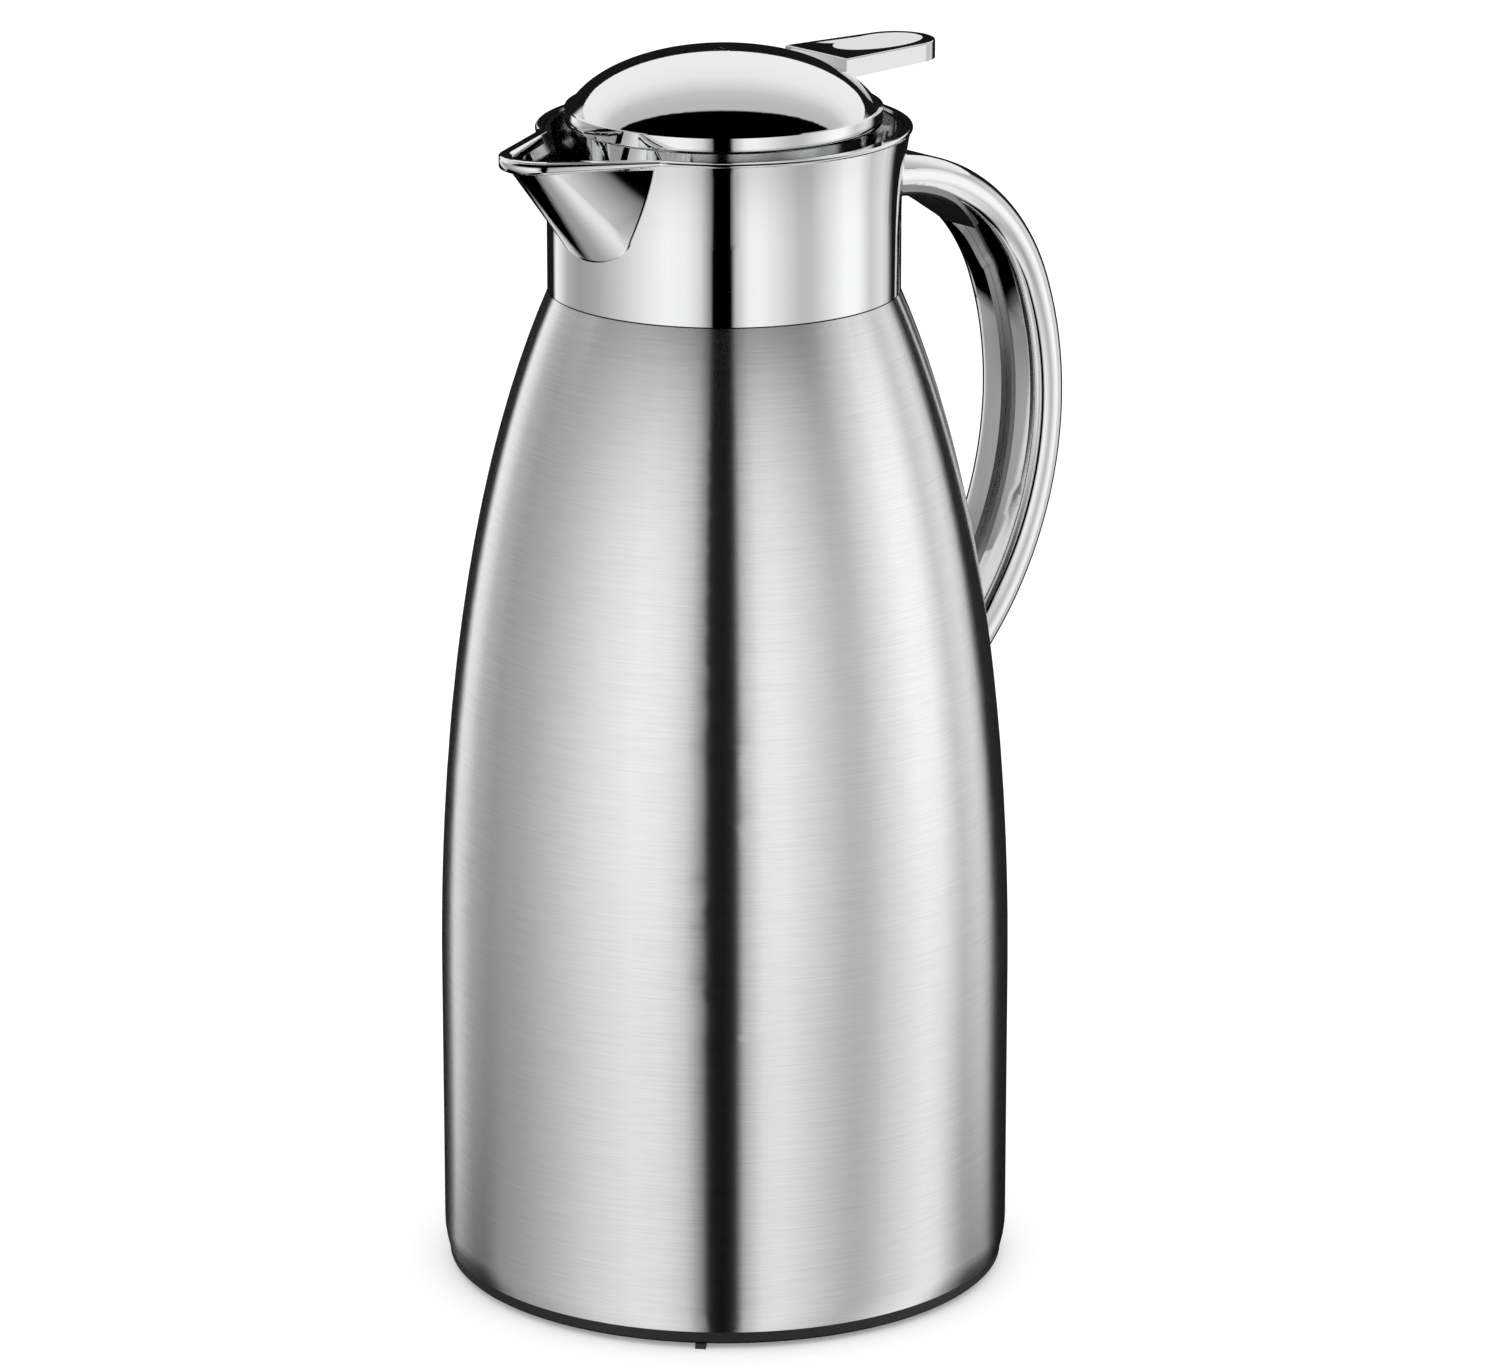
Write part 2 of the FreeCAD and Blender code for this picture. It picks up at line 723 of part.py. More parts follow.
def thumb_dish():
    """A flattened ball that presses an oval dish into the lever's top."""
    share = math.sqrt(1 - ((dish_ball_height - dish_depth) / dish_ball_height) ** 2)
    matrix = FreeCAD.Matrix()
    matrix.scale(dish_length / 2 / share / dish_ball_height, dish_width / 2 / share / dish_ball_height, 1)
    ball = Part.makeSphere(dish_ball_height).transformGeometry(matrix)
    ball.translate(at(dish_centre, lever_top + dish_ball_height - dish_depth))
    return ball


def thumb_lever():
    plate = lever_plate(0)
    rims = [e for e in plate.Edges if e.BoundBox.ZMin > lever_top - lever_edge_round]
    plate = plate.makeFillet(lever_edge_round, rims)
    whole = plate.fuse(lever_foot(0)).removeSplitter()
    return cut_each(whole, [thumb_dish()] + lever_screw_solids(screw_gap))


def handle_place(turn):
    """Centre of the handle and its outward direction where it has turned down by an angle."""
    place = at(handle_bend_start, handle_height)
    done = 0
    for radius, sweep in zip(handle_radii, handle_turns):
        step = min(turn, done + sweep)
        a, b = math.radians(done), math.radians(step)
        place = place + at(radius * (math.sin(b) - math.sin(a)), radius * (math.cos(b) - math.cos(a)))
        done += sweep
        if turn <= done:
            break
    bearing = math.radians(turn)
    return place, at(math.sin(bearing), math.cos(bearing))


def handle_route(first, last):
    """The arcs of the handle's centre line between two turns."""
    edges = []
    done = 0
    for sweep in handle_turns:
        low, high = max(first, done), min(last, done + sweep)
        done += sweep
        if low < high:
            ends = [handle_place(turn)[0] for turn in (low, (low + high) / 2, high)]
            edges.append(Part.Arc(*ends).toShape())
    return edges


def landing_turn():
    """The turn at which the handle's centre line enters the body, found by halving."""
    body = body_envelope(0)
    low, high = slot_turns[-1], sum(handle_turns)
    for _ in range(landing_steps):
        middle = (low + high) / 2
        if body.isInside(handle_place(middle)[0], joint_gap, True):
            high = middle
        else:
            low = middle
    return low


def handle_placed(section, place, outward):
    """Stands a section on the handle's centre line, facing along it."""
    placed = section.copy()
    facing = FreeCAD.Rotation(ACROSS, outward, ACROSS.cross(outward), "XYZ")
    placed.Placement = FreeCAD.Placement(place, facing)
    return placed


def handle_sweep(section, first, last, arm):
    """Carries a section along the handle. The arm is a straight start inside the collar."""
    place, outward = handle_place(first)
    edges = handle_route(first, last)
    if arm:
        start = place - OUT * arm
        edges = [Part.LineSegment(start, place).toShape()] + edges
        place = start
    return Part.Wire(edges).makePipeShell([handle_placed(section, place, outward)], True, True)


def tube_section(shrink):
    """A flat tube's outline, with half-round sides, moved in by a thickness."""
    straight = half_width - half_thickness
    thick = half_thickness - shrink
    wide = half_width - shrink
    corners = [VEC(side * straight, level * thick, 0) for side, level in ((1, -1), (1, 1), (-1, 1), (-1, -1))]
    near = Part.Arc(corners[2], VEC(-wide, 0, 0), corners[3]).toShape()
    far = Part.Arc(corners[0], VEC(wide, 0, 0), corners[1]).toShape()
    top = Part.LineSegment(corners[1], corners[2]).toShape()
    under = Part.LineSegment(corners[3], corners[0]).toShape()
    return Part.Wire([far, top, near, under])


def strip_section(half, low, high):
    """A rectangle across the handle, between two levels of its thickness."""
    corners = [VEC(-half, low, 0), VEC(half, low, 0), VEC(half, high, 0), VEC(-half, high, 0)]
    return Part.makePolygon(corners + corners[:1])


def slot_section(share, gap):
    return strip_section(share * half_width - gap, -half_thickness - overrun, -slot_root_drop - gap)


def fork_space(gap):
    """The wide end of the slot, narrowing from the collar along the first bend."""
    sections = []
    for turn, share in zip(slot_turns, slot_width_shares):
        sections.append(handle_placed(slot_section(share, gap), *handle_place(turn)))
    start = sections[0].copy()
    start.translate(-OUT * handle_arm())
    return Part.makeLoft([start] + sections, True, False)


def fitted(shape):
    """Trims a handle piece where it meets the collar and the body."""
    return cut_each(shape, [collar_envelope(joint_gap), body_envelope(joint_gap)])


def handle_arm():
    return handle_bend_start - collar_inner


def handle_outer_shell():
    """The tube, hollow, with the slot cut through its inner side."""
    end = sum(handle_turns)
    tube = handle_sweep(tube_section(0), 0, end, handle_arm())
    hollow = handle_sweep(tube_section(handle_wall), 0, end, handle_arm())
    slot = handle_sweep(slot_section(slot_width_shares[-1], 0), slot_turns[-2], end, 0)
    return cut_each(fitted(tube), [hollow, fork_space(0), slot])


def handle_inner_cover():
    """The strip inside the tube that closes the slot from behind."""
    low = handle_wall - half_thickness + joint_gap
    strip = strip_section(cover_width / 2, low, low + cover_thickness)
    last = landing_turn() - lower_block_back - cover_gap_turn
    return handle_sweep(strip, tongue_turn + cover_gap_turn, last, 0)


def handle_top_bracket():
    """The arm inside the tube at the collar, with a tongue that fills the fork and stands a little proud."""
    core = handle_sweep(tube_section(handle_wall + slip_gap), 0, tongue_turn, handle_arm())
    tongue = handle_sweep(tube_section(-tongue_proud), 0, tongue_turn, handle_arm())
    whole = core.fuse(tongue.common(fork_space(slip_gap))).removeSplitter()
    return fitted(whole).cut(top_screw(screw_gap))


def handle_bottom_bracket():
    """The block in the tube's lower end that takes the lower screw."""
    first = landing_turn() - lower_block_back
    block = handle_sweep(tube_section(handle_wall + slip_gap), first, sum(handle_turns), 0)
    return fitted(block).cut(bottom_screw(screw_gap))


def top_screw(gap):
    start = at(collar_inner + handle_head_sink, handle_height)
    end = start + OUT * (top_screw_length + gap)
    return countersunk(handle_screw_radius + gap, handle_head_radius + gap, handle_head_depth, start, end)


def handle_top_screw():
    return top_screw(0)


def bottom_screw_seat():
    """Where the lower screw starts: on the backing plate's inner face, at the handle's lower end."""
    height = handle_place(landing_turn() - bottom_screw_back)[0].z
    level = Part.LineSegment(at(0, height), at(body_radius, height)).toShape()
    reach = level.common(body_envelope(-sheet - joint_gap)).Length
    return at(reach - backing_thickness, height)


def bottom_screw(gap):
    start = bottom_screw_seat()
    end = start + OUT * (bottom_screw_length + gap)
    return countersunk(bottom_screw_radius + gap, bottom_head_radius + gap, handle_head_depth, start, end)


def handle_bottom_screw():
    return bottom_screw(0)


def bottom_screw_hole():
    start = bottom_screw_seat()
    return rod(bottom_screw_radius + hole_gap, start, start + OUT * (backing_thickness + overrun))


def handle_backing_plate():
    """A curved plate inside the body that spreads the lower screw's load."""
    seat = bottom_screw_seat()
    block = Part.makeBox(body_radius, backing_width, backing_height,
                         VEC(0, -backing_width / 2, seat.z - backing_height / 2))
    outside = body_envelope(-sheet - joint_gap)
    inside = body_envelope(-sheet - joint_gap - backing_thickness)
    return cut_each(block.common(outside), [inside, bottom_screw(screw_gap)])


PIECES = (body_shell, base_ring, base_cap, foot_ring, flask_outer_wall, flask_inner_wall, flask_cushion,
          flask_spacer, neck_seal, collar, neck_nut, pour_insert, hinge_pin, lid_dome, lid_plug, plug_cap,
          lid_seal, lid_screws, thumb_lever, lever_screws, handle_outer_shell, handle_inner_cover,
          handle_top_bracket, handle_bottom_bracket, handle_top_screw, handle_bottom_screw,
          handle_backing_plate)

os.makedirs("parts", exist_ok=True)
for piece in PIECES:
    piece().exportStep("parts/" + piece.__name__ + ".step")
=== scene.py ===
import math
import bpy
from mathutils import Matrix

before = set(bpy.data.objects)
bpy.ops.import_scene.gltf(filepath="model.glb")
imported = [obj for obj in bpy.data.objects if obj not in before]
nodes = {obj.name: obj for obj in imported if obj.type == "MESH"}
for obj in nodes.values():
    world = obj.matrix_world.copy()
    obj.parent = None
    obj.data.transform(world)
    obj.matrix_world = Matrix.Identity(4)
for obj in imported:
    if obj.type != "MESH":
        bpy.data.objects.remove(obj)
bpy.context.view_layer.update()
scene = bpy.context.scene

# The spout points along -X and the handle along +X. AWAY is the level direction from the camera to the jug,
# and RIGHT is the picture's right.
VIEW_TURN = math.radians(40.0)
AWAY = (math.sin(VIEW_TURN), math.cos(VIEW_TURN))
RIGHT = (math.cos(VIEW_TURN), -math.sin(VIEW_TURN))

# The photograph's camera: focal length in the photograph's pixels, lengths in metres, angles in degrees
PHOTO_WIDTH = 1500.0
FOCAL_PIXELS = 7230.0
SENSOR_WIDTH = 36.0
CAMERA_DISTANCE = 1.6
CAMERA_HEIGHT = 0.6133
CAMERA_PITCH = 16.52
CAMERA_YAW = 0.21

# Collar and spout, in metres of the part's frame
SEAM = 0.2328
JOINT_SHADE = 0.0003
COLLAR_RADIUS = 0.0402
FLARE_FOOT = 0.2503
FLARE_TOP = 0.2696
FLARE_REACH = 0.0020
SPOUT_FOOT = 0.2448
SPOUT_TOP = 0.2686
SPOUT_MIDDLE = 0.046
SPOUT_HOLLOW = 0.0006
LIP_ROOT = 0.036
LIP_TIP = 0.0621
LIP_ROOT_LOW = 0.2696
LIP_ROOT_HIGH = 0.2706
LIP_TIP_LOW = 0.2680
LIP_TIP_HIGH = 0.2711
PAST_RING_START = 0.0001
PAST_RING_END = 0.0005

# Upward part of the normals of the spout's sides and of upright faces
SIDE_LEAN_LEAST = -0.1
SIDE_LEAN_MOST = -0.7
UPRIGHT_LEAN = 0.5

# How strongly the spout's sides and lip bend the light
SPOUT_BEND = 1.9
SPOUT_TWIST = 0.2
LIP_ROLL = 1.2

# Dish of the thumb lever, in metres of the part's frame, and the direction that its floor faces
DISH_CENTRE = 0.046
DISH_LENGTH = 0.0246
DISH_WIDTH = 0.0136
DISH_LEAN = (-0.10, -0.05, 0.99)

# Darkest and lightest chrome, and its least and most roughness
CHROME_TONES = ((0.88, 0.885, 0.89), (0.90, 0.904, 0.906))
LEVER_TONES = ((0.74, 0.744, 0.748), (0.77, 0.774, 0.776))
CHROME_ROUGHNESS = (0.025, 0.06)

# Painted shade in the gap where collar and body meet, and the white of floor and background
PAINTED_JOINT_SHADE = (0.03, 0.03, 0.03, 1.0)
WHITE = (1.0, 1.0, 1.0, 1.0)

# Edges sharper than this, in degrees, stay sharp
SHARP_EDGE = 24.0

# The light tent, in metres
TENT_RADIUS = 0.75
TENT_LOW = -0.40
TENT_HIGH = 0.66
TENT_SIDES = 96
TENT_EDGE = 0.001
BACK_WALL_TOP = 0.50
LOW_START = -0.24
LOW_END = -0.30

# Light on the tent's walls by the turn from the camera's side, in degrees to the right: tall soft boxes
# with a dark gap before the camera and a dark wall behind the jug
WALL_LEVELS = (
    (-180, 0.01), (-145, 0.01), (-139, 0.98), (-131, 0.80), (-121, 0.47), (-106, 0.35), (-88, 0.43),
    (-70, 0.63), (-52, 0.86), (-36, 1.0), (-24, 0.95), (-15, 0.74), (-8.5, 0.25), (-7.2, 0.0),
    (5.0, 0.0), (6.4, 0.50), (15, 0.96), (23, 0.98), (36, 0.78), (49, 0.56), (57, 0.56), (68, 0.78),
    (84, 1.05), (95, 1.04), (108, 0.64), (122, 0.80), (130, 0.60), (134, 0.18), (138, 0.01), (180, 0.01))

# What is left of that light near the tent's floor, by the same turn: nothing behind the jug
LOW_SHARES = ((-180, 0.0), (-116, 0.0), (-104, 1.0), (95, 1.0), (120, 0.0), (180, 0.0))

# Share of the light by height on the walls
WALL_FALL = (
    (-0.40, 0.88), (-0.33, 0.86), (-0.26, 0.73), (-0.17, 0.80), (-0.05, 0.94), (0.06, 1.0), (0.30, 0.98),
    (0.50, 0.74), (0.62, 0.54), (0.66, 0.50))

# Share of the light on the tent's floor by the distance from the jug's axis, in tent radii
FLOOR_FALL = ((0.28, 0.0), (0.38, 0.84), (0.62, 0.88), (1.0, 0.88))

# Light on the roof by the distance behind the jug's axis
ROOF_LEVELS = (
    (-0.75, 0.0), (0.008, 0.0), (0.018, 0.52), (0.10, 0.54), (0.18, 0.60), (0.26, 0.75), (0.37, 0.88),
    (0.58, 0.92), (0.75, 0.92))

# The white floor: half its side in metres, and the light added to it where it is seen
FLOOR_REACH = 6.0
FLOOR_LIFT = 0.24


class Nodes:
    """Builds a node tree in short lines."""

    def __init__(self, tree):
        self.tree = tree
        tree.nodes.clear()

    def add(self, kind, inputs=None, **settings):
        node = self.tree.nodes.new(kind)
        for key, value in settings.items():
            setattr(node, key, value)
        for key, value in (inputs or {}).items():
            self.set(node.inputs[key], value)
        return node

    def set(self, socket, value):
        if isinstance(value, bpy.types.NodeSocket):
            self.tree.links.new(value, socket)
        else:
            socket.default_value = value

    def math(self, operation, first, second=0.0):
        return self.add("ShaderNodeMath", {0: first, 1: second}, operation=operation).outputs[0]

    def plus(self, first, second):
        return self.math("ADD", first, second)

    def minus(self, first, second):
        return self.math("SUBTRACT", first, second)

    def over(self, first, second):
        return self.math("DIVIDE", first, second)

    def product(self, first, *others):
        for other in others:
            first = self.math("MULTIPLY", first, other)
        return first

    def below(self, value, limit):
        return self.math("LESS_THAN", value, limit)

    def above(self, value, limit):
        return self.math("GREATER_THAN", value, limit)

    def square_sum(self, first, second):
        return self.plus(self.product(first, first), self.product(second, second))

    def parts(self, vector):
        return self.add("ShaderNodeSeparateXYZ", {0: vector}).outputs

    def along(self, vector, direction):
        """How far a vector goes in a level direction."""
        flat = (direction[0], direction[1], 0.0)
        node = self.add("ShaderNodeVectorMath", {0: vector, 1: flat}, operation="DOT_PRODUCT")
        return node.outputs["Value"]

    def between(self, value, start, end):
        """0 at the start, 1 at the end."""
        return self.add("ShaderNodeMapRange", {"Value": value, "From Min": start, "From Max": end}).outputs[0]

    def spread(self, share, low, high):
        """Low where the share is 0, high where it is 1."""
        return self.add("ShaderNodeMapRange", {"Value": share, "To Min": low, "To Max": high}).outputs[0]

    def mix_colours(self, share, first, second, blend="MIX"):
        inputs = {"Factor": share, 6: first, 7: second}
        return self.add("ShaderNodeMix", inputs, data_type="RGBA", blend_type=blend).outputs[2]

    def mix_vectors(self, share, first, second):
        inputs = {"Factor": share, 4: first, 5: second}
        return self.add("ShaderNodeMix", inputs, data_type="VECTOR").outputs[1]

    def bump(self, height, strength=1.0, distance=1.0):
        inputs = {"Height": height, "Strength": strength, "Distance": distance}
        return self.add("ShaderNodeBump", inputs).outputs[0]

    def ramp(self, share, stops):
        """A ramp over grey levels or colours, each stop (place, level)."""
        node = self.add("ShaderNodeValToRGB", {"Fac": share})
        elements = node.color_ramp.elements
        while len(elements) < len(stops):
            elements.new(0.5)
        for element, (place, level) in zip(elements, stops):
            element.position = place
            colour = level if isinstance(level, tuple) else (level, level, level)
            element.color = (*colour, 1.0)
        return node.outputs["Color"]

    def ramp_between(self, share, start, end, stops):
        """A ramp whose stops are given on the scale from start to end."""
        return self.ramp(share, [((place - start) / (end - start), level) for place, level in stops])

    def noise(self, scale, stretch=(1.0, 1.0, 1.0), detail=2.0, roughness=0.5):
        """Noise in metres of the part's own frame, stretched along its axes."""
        where = self.add("ShaderNodeTexCoord").outputs["Object"]
        mapped = self.add("ShaderNodeMapping", {"Vector": where, "Scale": stretch}).outputs[0]
        inputs = {"Vector": mapped, "Scale": scale, "Detail": detail, "Roughness": roughness}
        return self.add("ShaderNodeTexNoise", inputs).outputs["Fac"]

    def haze(self):
        """The faint wiping marks on chrome."""
        return self.noise(scale=38.0, detail=4.0, roughness=0.6)

    def two_tones(self, share, tones):
        return self.ramp(share, ((0.3, tones[0]), (0.7, tones[1])))

    def surface(self, inputs):
        shader = self.add("ShaderNodeBsdfPrincipled", inputs)
        self.finish(shader)

    def finish(self, shader):
        self.add("ShaderNodeOutputMaterial", {"Surface": shader.outputs[0]})


def material(name):
    made = bpy.data.materials.new(name)
    made.use_nodes = True
    return made, Nodes(made.node_tree)


def brushed_steel():
    """Satin steel brushed round the body: fine level lines, and reflections drawn out upwards."""
    made, tree = material("brushed_steel_body")
    fine = tree.noise(scale=60.0, stretch=(1.5, 1.5, 62.0), detail=4.0, roughness=0.7)
    broad = tree.noise(scale=30.0, stretch=(0.5, 0.5, 26.0), detail=2.0, roughness=0.5)
    lines = tree.plus(tree.product(fine, 0.85), tree.product(broad, 0.15))
    colour = tree.ramp(lines, ((0.36, (0.87, 0.87, 0.875)), (0.64, (0.965, 0.965, 0.97))))
    tangent = tree.add("ShaderNodeTangent", direction_type="RADIAL", axis="Z").outputs[0]
    metal = {"Base Color": colour, "Metallic": 1.0}
    brushed = {"Roughness": tree.spread(lines, 0.17, 0.22), "Tangent": tangent}
    brushed.update({"Anisotropic": 1.0, "Anisotropic Rotation": 0.25})
    drawn = tree.add("ShaderNodeBsdfPrincipled", {**metal, **brushed})
    scattered = tree.add("ShaderNodeBsdfPrincipled", {**metal, "Roughness": 0.55})
    scattered_share = 0.03
    both = tree.add("ShaderNodeMixShader", {0: scattered_share, 1: drawn.outputs[0], 2: scattered.outputs[0]})
    tree.finish(both)
    return made


def polished_chrome(name, tint=0.90, low=CHROME_ROUGHNESS[0], high=CHROME_ROUGHNESS[1]):
    """Mirror chrome with faint wiping haze and a hardly visible waviness."""
    made, tree = material(name)
    haze = tree.haze()
    tones = ((tint - 0.02, tint - 0.015, tint - 0.01), (tint, tint + 0.004, tint + 0.006))
    waves = tree.bump(tree.noise(scale=900.0), strength=0.012, distance=0.0001)
    tree.surface({"Base Color": tree.two_tones(haze, tones), "Metallic": 1.0,
                  "Roughness": tree.spread(haze, low, high), "Normal": waves})
    return made


def spout_side(tree, place):
    """Normals of the spout's slightly hollow, turned side."""
    share = tree.between(place["Z"], SPOUT_FOOT, SPOUT_TOP)
    rest = tree.minus(1.0, share)
    sag = tree.product(share, rest, -4.0 * SPOUT_HOLLOW)
    reach = tree.product(place["X"], -1.0)
    swing = tree.product(reach, reach, -SPOUT_BEND)
    twist = tree.product(rest, -SPOUT_TWIST, tree.minus(reach, SPOUT_MIDDLE))
    return tree.bump(tree.plus(sag, tree.plus(swing, twist)))


def spout_lip(tree, place):
    """Normals of the lip's rolled edge, and the height at which the lip begins."""
    along = tree.between(place["X"], -LIP_ROOT, -LIP_TIP)
    lip_low = tree.spread(along, LIP_ROOT_LOW, LIP_TIP_LOW)
    lip_depth = tree.spread(along, LIP_ROOT_HIGH - LIP_ROOT_LOW, LIP_TIP_HIGH - LIP_TIP_LOW)
    from_middle = tree.minus(tree.over(tree.minus(place["Z"], lip_low), lip_depth), 0.5)
    roll = tree.product(from_middle, from_middle, lip_depth, -LIP_ROLL)
    return tree.bump(roll), lip_low


def past_ring(tree, place):
    """1 where the collar stands out past its round flared ring, at the spout and its lip."""
    flared = tree.between(place["Z"], FLARE_FOOT, FLARE_TOP)
    ring = tree.plus(tree.product(flared, flared, FLARE_REACH), COLLAR_RADIUS)
    from_axis = tree.math("SQRT", tree.square_sum(place["X"], place["Y"]))
    return tree.between(tree.minus(from_axis, ring), PAST_RING_START, PAST_RING_END)


def collar_chrome():
    """The collar's chrome, with the hollow of the spout's sides, its rolled lip and painted shade in the gap
    at its seam with the body.
    """
    made, tree = material("collar_chrome")
    place = tree.parts(tree.add("ShaderNodeTexCoord").outputs["Object"])
    faces = tree.add("ShaderNodeNewGeometry").outputs["Normal"]
    lean = tree.parts(faces)["Z"]
    past = past_ring(tree, place)
    leans_out = tree.product(tree.below(lean, SIDE_LEAN_LEAST), tree.above(lean, SIDE_LEAN_MOST))
    bent = tree.mix_vectors(tree.product(past, leans_out), faces, spout_side(tree, place))
    rolled, lip_low = spout_lip(tree, place)
    upright = tree.below(tree.math("ABSOLUTE", lean), UPRIGHT_LEAN)
    on_lip = tree.product(past, upright, tree.above(place["Z"], lip_low))
    bent = tree.mix_vectors(on_lip, bent, rolled)
    haze = tree.haze()
    # Painted shade: the collar's lowest band by the seam is coloured near black for the shadow in the gap
    in_painted_joint_shade = tree.below(place["Z"], SEAM + JOINT_SHADE)
    colour = tree.mix_colours(in_painted_joint_shade, tree.two_tones(haze, CHROME_TONES), PAINTED_JOINT_SHADE)
    tree.surface({"Base Color": colour, "Metallic": 1.0, "Roughness": tree.spread(haze, *CHROME_ROUGHNESS),
                  "Normal": bent})
    return made


def lever_chrome():
    """The lever's chrome, with the floor of its dish leaning to the spout."""
    made, tree = material("lever_chrome")
    spaces = tree.add("ShaderNodeTexCoord").outputs
    place = tree.parts(spaces["Object"])
    along = tree.over(tree.minus(place["X"], DISH_CENTRE), DISH_LENGTH / 2)
    across = tree.over(place["Y"], DISH_WIDTH / 2)
    in_oval = tree.below(tree.square_sum(along, across), 1.0)
    on_top = tree.above(tree.parts(spaces["Normal"])["Z"], UPRIGHT_LEAN)
    faces = tree.add("ShaderNodeNewGeometry").outputs["Normal"]
    leaning = tree.add("ShaderNodeVectorTransform", {0: DISH_LEAN}, vector_type="NORMAL",
                       convert_from="OBJECT", convert_to="WORLD").outputs[0]
    bent = tree.mix_vectors(tree.product(in_oval, on_top), faces, leaning)
    haze = tree.haze()
    tree.surface({"Base Color": tree.two_tones(haze, LEVER_TONES), "Metallic": 1.0,
                  "Roughness": tree.spread(haze, *CHROME_ROUGHNESS), "Normal": bent})
    return made


def moulded_plastic(name, base, roughness):
    """Moulded plastic with a fine spark-eroded grain and a slight change of tone."""
    made, tree = material(name)
    darker = tuple(0.85 * channel for channel in base)
    colour = tree.two_tones(tree.noise(scale=30.0, detail=3.0), (darker, base))
    grain = tree.noise(scale=2600.0)
    tree.surface({"Base Color": colour, "Roughness": tree.spread(grain, roughness - 0.06, roughness + 0.06),
                  "Normal": tree.bump(grain, strength=0.12, distance=0.0001)})
    return made


def soft_rubber(name, base):
    """Matt rubber with a little dust."""
    made, tree = material(name)
    dust = tree.noise(scale=120.0, detail=4.0, roughness=0.7)
    dusty = tuple(min(1.0, 1.5 * channel) for channel in base)
    colour = tree.ramp(dust, ((0.35, base), (0.8, dusty)))
    skin = tree.bump(tree.noise(scale=3200.0), strength=0.15, distance=0.0001)
    tree.surface({"Base Color": colour, "Roughness": tree.spread(dust, 0.7, 0.85), "Normal": skin})
    return made


def silvered_glass():
    """Flask glass with a silver film behind it."""
    made, tree = material("silvered_glass")
    haze = tree.noise(scale=24.0, detail=3.0)
    colour = tree.two_tones(haze, ((0.78, 0.77, 0.74), (0.86, 0.85, 0.82)))
    tree.surface({"Base Color": colour, "Metallic": 1.0, "Roughness": tree.spread(haze, 0.05, 0.12),
                  "Coat Weight": 1.0, "Coat Roughness": 0.02})
    return made


def fastener_steel():
    """Turned steel of the screws, the pin and the backing plate."""
    made, tree = material("fastener_steel")
    turned = tree.noise(scale=700.0, detail=3.0)
    colour = tree.two_tones(turned, ((0.58, 0.57, 0.55), (0.70, 0.69, 0.67)))
    tree.surface({"Base Color": colour, "Metallic": 1.0, "Roughness": tree.spread(turned, 0.22, 0.38)})
    return made


steel = brushed_steel()
chrome = polished_chrome("polished_chrome")
ring_chrome = collar_chrome()
thumb_chrome = lever_chrome()
black = moulded_plastic("black_plastic", base=(0.007, 0.007, 0.008), roughness=0.5)
insert = polished_chrome("chromed_insert", tint=0.80, low=0.05, high=0.11)
cover = polished_chrome("cover_strip", tint=0.34, low=0.16, high=0.26)
tongue = polished_chrome("tongue_plastic", tint=0.30, low=0.30, high=0.42)
inner = moulded_plastic("inner_plastic", base=(0.30, 0.30, 0.31), roughness=0.5)
foot = soft_rubber("foot_rubber", base=(0.020, 0.020, 0.021))
seal = soft_rubber("seal_rubber", base=(0.50, 0.50, 0.48))
glass = silvered_glass()
fastener = fastener_steel()

finishes = {
    "body_shell": steel,
    "base_ring": black,
    "base_cap": black,
    "foot_ring": foot,
    "flask_outer_wall": glass,
    "flask_inner_wall": glass,
    "flask_cushion": seal,
    "flask_spacer": seal,
    "neck_seal": seal,
    "collar": ring_chrome,
    "neck_nut": inner,
    "pour_insert": insert,
    "hinge_pin": fastener,
    "lid_dome": chrome,
    "lid_plug": chrome,
    "plug_cap": inner,
    "lid_seal": seal,
    "lid_screws": fastener,
    "thumb_lever": thumb_chrome,
    "lever_screws": fastener,
    "handle_outer_shell": chrome,
    "handle_inner_cover": cover,
    "handle_top_bracket": tongue,
    "handle_bottom_bracket": inner,
    "handle_top_screw": fastener,
    "handle_bottom_screw": fastener,
    "handle_backing_plate": fastener,
}


def dress(piece, finish):
    """Gives a piece its material, joins its split vertices and shades it smoothly between sharp edges."""
    mesh = piece.data
    mesh.materials.clear()
    mesh.materials.append(finish)
    mesh.polygons.foreach_set("use_smooth", [True] * len(mesh.polygons))
    weld = piece.modifiers.new("join", "WELD")
    weld.merge_threshold = 1e-6
    split = piece.modifiers.new("edges", "EDGE_SPLIT")
    split.split_angle = math.radians(SHARP_EDGE)


for name, finish in finishes.items():
    dress(nodes[name], finish)


def link_new(name, mesh):
    made = bpy.data.objects.new(name, mesh)
    scene.collection.objects.link(made)
    return made


def tent_mesh():
    """A closed drum round the jug."""
    turns = [2 * math.pi * k / TENT_SIDES for k in range(TENT_SIDES)]
    ring = [(TENT_RADIUS * math.cos(turn), TENT_RADIUS * math.sin(turn)) for turn in turns]
    points = [(x, y, z) for z in (TENT_LOW, TENT_HIGH) for x, y in ring]
    following = [(k + 1) % TENT_SIDES for k in range(TENT_SIDES)]
    walls = [(k, after, TENT_SIDES + after, TENT_SIDES + k) for k, after in enumerate(following)]
    ends = [tuple(range(TENT_SIDES)), tuple(range(TENT_SIDES, 2 * TENT_SIDES))]
    mesh = bpy.data.meshes.new("light_tent")
    mesh.from_pydata(points, [], walls + ends)
    return mesh


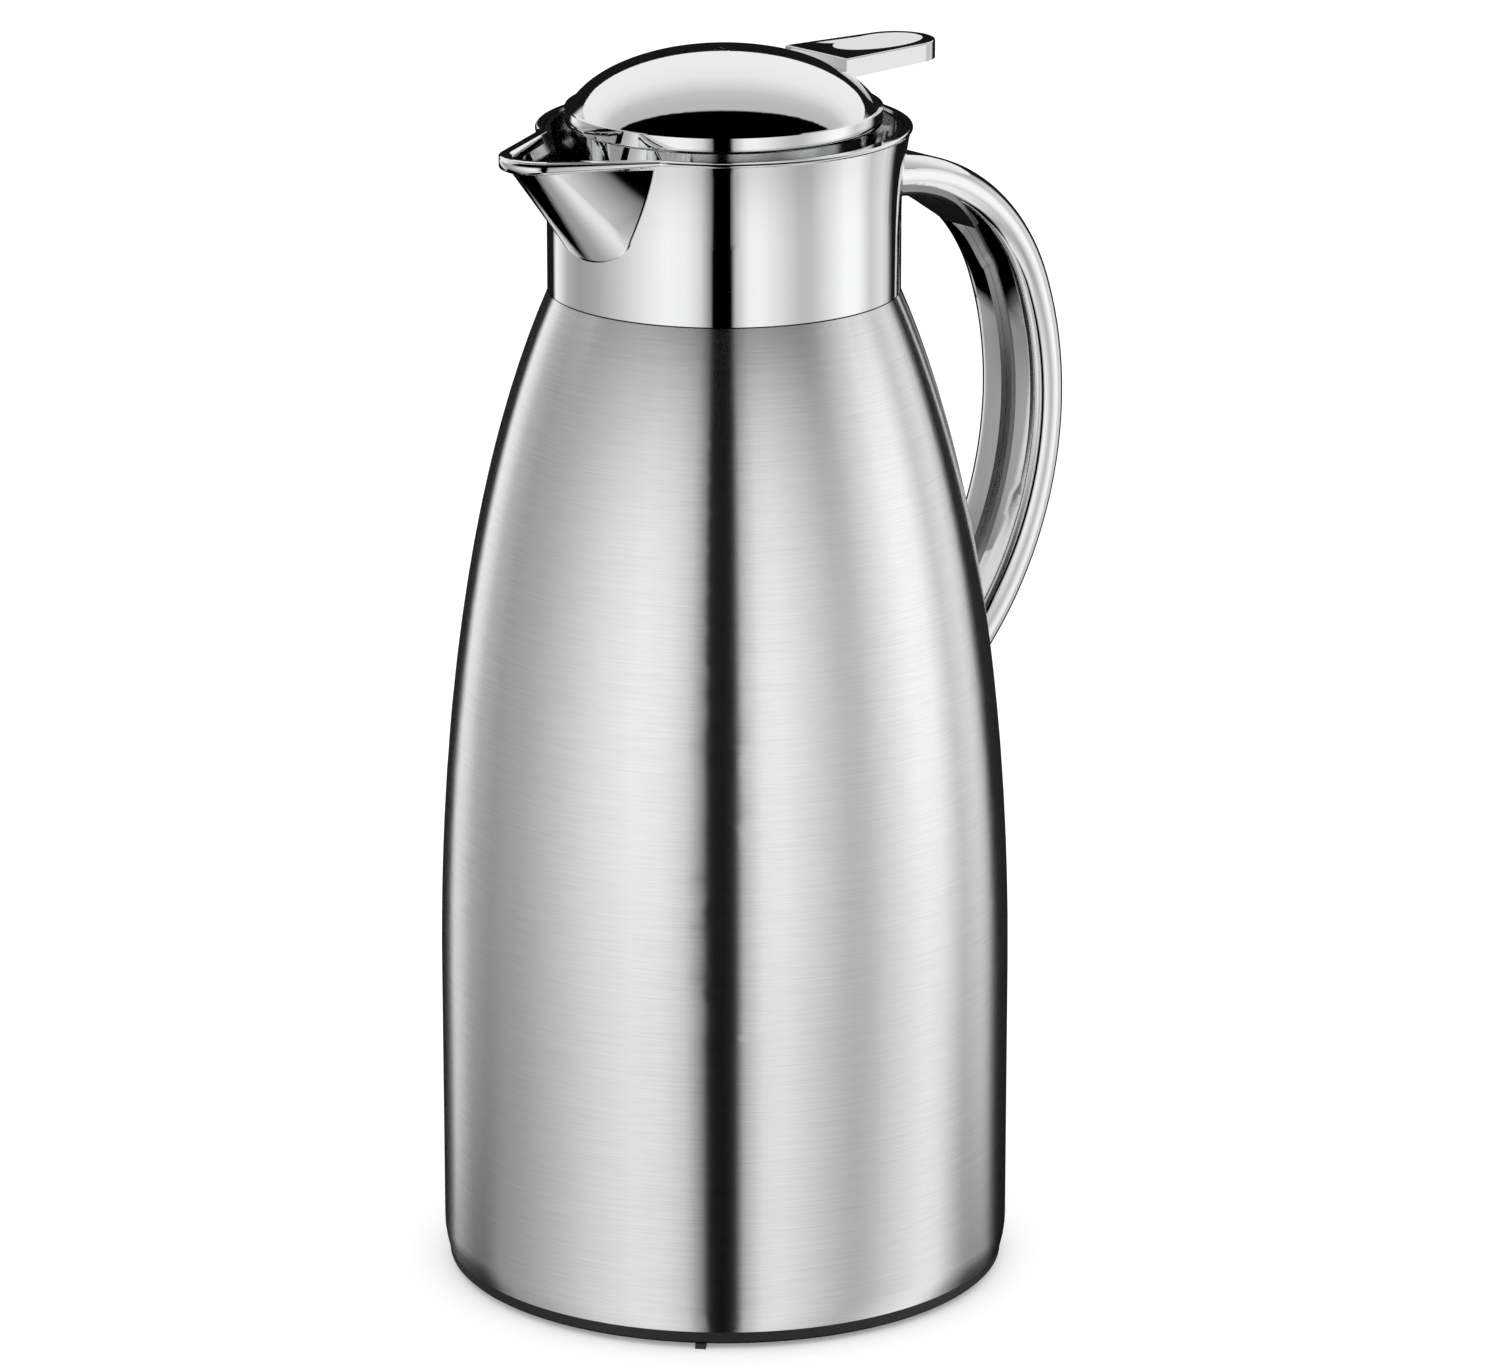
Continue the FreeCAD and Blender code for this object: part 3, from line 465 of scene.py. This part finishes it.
def wall_light(tree, right, near, height):
    """Light on the walls and the floor of the tent."""
    turn = tree.math("ARCTAN2", right, near)
    turn_share = tree.plus(tree.over(turn, 2 * math.pi), 0.5)
    by_turn = tree.ramp_between(turn_share, -180.0, 180.0, WALL_LEVELS)
    by_height = tree.ramp_between(tree.between(height, TENT_LOW, TENT_HIGH), TENT_LOW, TENT_HIGH, WALL_FALL)
    from_axis = tree.math("SQRT", tree.square_sum(right, near))
    by_distance = tree.ramp(tree.over(from_axis, TENT_RADIUS), FLOOR_FALL)
    on_floor = tree.below(height, TENT_LOW + TENT_EDGE)
    fall = tree.mix_colours(on_floor, by_height, by_distance)
    glow = tree.mix_colours(1.0, by_turn, fall, blend="MULTIPLY")
    low_shares = tree.ramp_between(turn_share, -180.0, 180.0, LOW_SHARES)
    return tree.mix_colours(tree.between(height, LOW_START, LOW_END), glow, low_shares, blend="MULTIPLY")


def tent_light():
    """Glowing material of the tent: its walls and floor, and the roof above and behind the jug."""
    made, tree = material("light_tent")
    place = tree.add("ShaderNodeNewGeometry").outputs["Position"]
    right = tree.along(place, RIGHT)
    near = tree.along(place, (-AWAY[0], -AWAY[1]))
    height = tree.parts(place)["Z"]
    away_share = tree.between(tree.product(near, -1.0), -TENT_RADIUS, TENT_RADIUS)
    roof = tree.ramp_between(away_share, -TENT_RADIUS, TENT_RADIUS, ROOF_LEVELS)
    high_behind = tree.product(tree.below(near, 0.0), tree.above(height, BACK_WALL_TOP))
    is_roof = tree.math("MAXIMUM", tree.above(height, TENT_HIGH - TENT_EDGE), high_behind)
    colour = tree.mix_colours(is_roof, wall_light(tree, right, near, height), roof)
    tree.finish(tree.add("ShaderNodeEmission", {"Color": colour, "Strength": 1.0}))
    return made


def light_tent():
    """The soft boxes round the jug and the one above and behind it, seen only in its reflections."""
    mesh = tent_mesh()
    mesh.materials.append(tent_light())
    tent = link_new("light_tent", mesh)
    tent.visible_camera = False
    tent.visible_diffuse = False
    tent.visible_shadow = False
    tent.visible_transmission = False
    tent.visible_volume_scatter = False


def floor():
    """A white floor that keeps the jug's shadow."""
    corners = [(-FLOOR_REACH, -FLOOR_REACH, 0), (FLOOR_REACH, -FLOOR_REACH, 0),
               (FLOOR_REACH, FLOOR_REACH, 0), (-FLOOR_REACH, FLOOR_REACH, 0)]
    mesh = bpy.data.meshes.new("floor")
    mesh.from_pydata(corners, [], [(0, 1, 2, 3)])
    made, tree = material("white_floor")
    rays = tree.add("ShaderNodeLightPath").outputs
    seen = tree.math("MAXIMUM", rays["Is Glossy Ray"], rays["Is Transmission Ray"])
    seen = tree.math("MAXIMUM", rays["Is Camera Ray"], seen)
    paper = tree.add("ShaderNodeBsdfDiffuse", {"Color": WHITE})
    lift = tree.add("ShaderNodeEmission", {"Strength": tree.product(seen, FLOOR_LIFT)})
    tree.finish(tree.add("ShaderNodeAddShader", {0: paper.outputs[0], 1: lift.outputs[0]}))
    mesh.materials.append(made)
    plane = link_new("floor", mesh)
    plane.visible_glossy = False


def sky():
    """Plain white light from all round, which is also the background."""
    world = bpy.data.worlds.new("white_studio")
    world.use_nodes = True
    scene.world = world
    tree = Nodes(world.node_tree)
    back = tree.add("ShaderNodeBackground", {"Color": WHITE, "Strength": 1.0})
    tree.add("ShaderNodeOutputWorld", {"Surface": back.outputs[0]})


def camera():
    """The photograph's view: a long lens, a little above the jug."""
    lens = bpy.data.cameras.new("camera")
    lens.sensor_width = SENSOR_WIDTH
    lens.sensor_fit = "HORIZONTAL"
    lens.lens = FOCAL_PIXELS / PHOTO_WIDTH * SENSOR_WIDTH
    eye = link_new("camera", lens)
    eye.location = (-CAMERA_DISTANCE * AWAY[0], -CAMERA_DISTANCE * AWAY[1], CAMERA_HEIGHT)
    eye.rotation_euler = (math.radians(90.0 - CAMERA_PITCH), 0.0, -VIEW_TURN - math.radians(CAMERA_YAW))
    scene.camera = eye


light_tent()
floor()
sky()
camera()
scene.view_settings.view_transform = "Standard"
